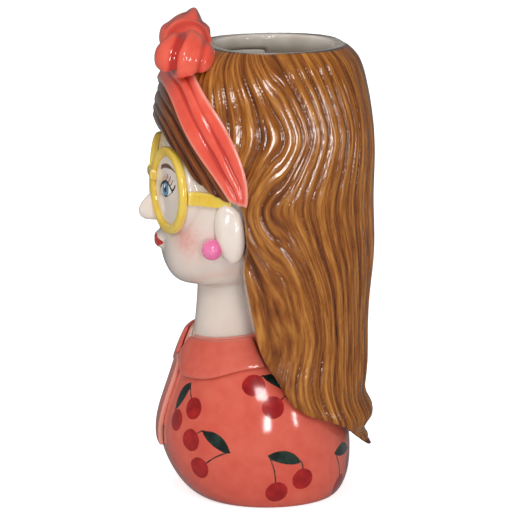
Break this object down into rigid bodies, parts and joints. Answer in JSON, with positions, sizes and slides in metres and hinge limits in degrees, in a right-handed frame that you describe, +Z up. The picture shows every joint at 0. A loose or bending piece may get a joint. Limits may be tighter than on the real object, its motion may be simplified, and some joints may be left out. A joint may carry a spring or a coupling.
{
  "type": "head planter",
  "caption": "Glazed ceramic head planter: a bust with long wavy hair, headband bow, round glasses and a printed blouse, hollow and open at the crown.",
  "frame": {"origin": "on the foot plane, under the middle of the overall depth, on the plane of symmetry", "axes": "+Z up out of the planting opening, -Y the way the face looks, +X the figure's left side"},
  "size_m": [0.1222, 0.1334, 0.2728],
  "materials": {
    "blouse_glaze": "glossy glaze",
    "skin_glaze": "glossy glaze",
    "hair_glaze": "glossy glaze",
    "coral_glaze": "glossy glaze",
    "yellow_glaze": "glossy glaze",
    "lens_glaze": "glossy glaze",
    "pink_glaze": "glossy glaze"
  },
  "bodies": {
    "root": {"bust_shell": "blouse_glaze", "face_shell": "skin_glaze", "hair_shell": "hair_glaze", "fringe": "hair_glaze", "headband": "coral_glaze", "bow_knot": "coral_glaze", "bow_loop_left": "coral_glaze", "bow_loop_right": "coral_glaze", "glasses_bridge": "yellow_glaze", "front_placket": "blouse_glaze", "ear_left": "skin_glaze", "ear_right": "skin_glaze", "earring_left": "pink_glaze", "earring_right": "pink_glaze", "glasses_rim_left": "yellow_glaze", "glasses_rim_right": "yellow_glaze", "glasses_lens_left": "lens_glaze", "glasses_lens_right": "lens_glaze", "temple_left": "yellow_glaze", "temple_right": "yellow_glaze", "collar_left": "blouse_glaze", "collar_right": "blouse_glaze"}
  },
  "joints": []
}
